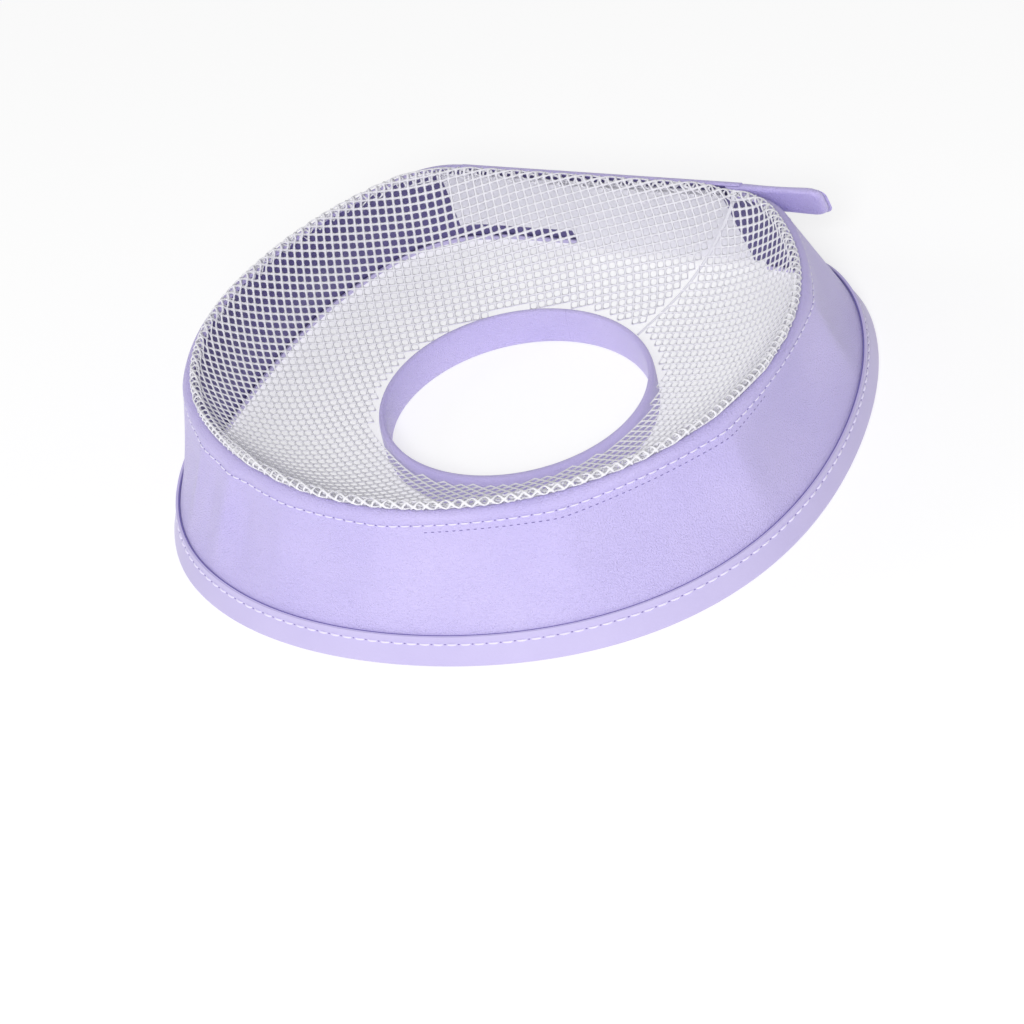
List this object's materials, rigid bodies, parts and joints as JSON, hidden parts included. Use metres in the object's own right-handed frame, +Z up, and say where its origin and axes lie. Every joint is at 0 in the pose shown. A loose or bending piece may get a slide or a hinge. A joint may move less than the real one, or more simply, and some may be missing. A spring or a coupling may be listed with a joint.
{
  "type": "elizabethan collar",
  "caption": "Soft wrap-around recovery collar for a cat: padded flared band, net funnel down to the neck, hook-and-loop closure with pull tab.",
  "frame": {"origin": "on the axis of the neck opening, in the plane that the base rests on", "axes": "+Z up along the neck axis towards the rim, +Y towards the closure, -Y towards the front fold, +X towards the free end of the peel strip"},
  "size_m": [0.2216, 0.2052, 0.0426],
  "materials": {
    "lilac_cloth": "satin-like coated cloth, fine twill",
    "pale_binding": "matt folded tape",
    "foam": "closed-cell sheet foam",
    "net": "knitted net",
    "elastic": "woven elastic",
    "closure_tape": "brushed loop cloth and hook tape",
    "webbing": "woven webbing"
  },
  "bodies": {
    "left_half": {"shell_left": "lilac_cloth", "core_left": "foam", "facing_left": "lilac_cloth", "base_binding_left": "pale_binding", "mesh_lining_left": "net", "mesh_roll_left": "net", "neck_casing_left": "lilac_cloth", "neck_elastic_left": "elastic"},
    "right_half": {"shell_right": "lilac_cloth", "core_right": "foam", "facing_right": "lilac_cloth", "base_binding_right": "pale_binding", "mesh_lining_right": "net", "mesh_roll_right": "net", "neck_casing_right": "lilac_cloth", "neck_elastic_right": "elastic", "loop_flap": "closure_tape"},
    "closure_strip": {"strip_shell": "lilac_cloth", "strip_core": "foam", "strip_facing": "lilac_cloth", "strip_base_binding": "pale_binding", "strip_end_binding": "pale_binding", "hook_panel": "closure_tape"},
    "pull_tab": {"tab_sleeve": "lilac_cloth", "tab_webbing": "webbing", "tab_backing": "lilac_cloth"}
  },
  "joints": [
    {"name": "front_flex", "type": "hinge", "parent": "left_half", "child": "right_half", "pos_m": [0, -0.111, 0.02], "axis": [0, 0, -1], "range_deg": [0, 32]},
    {"name": "strip_peel", "type": "hinge", "parent": "left_half", "child": "closure_strip", "pos_m": [-0.04455, 0.0946, 0.02], "axis": [0, 0, 1], "range_deg": [0, 50]},
    {"name": "tab_lift", "type": "hinge", "parent": "closure_strip", "child": "pull_tab", "pos_m": [0.0508, 0.082, 0.0335], "axis": [0, 0, 1], "range_deg": [0, 60]}
  ],
  "couplings": [
    {"joint": "strip_peel", "follows": "front_flex", "ratio": 1.5}
  ]
}
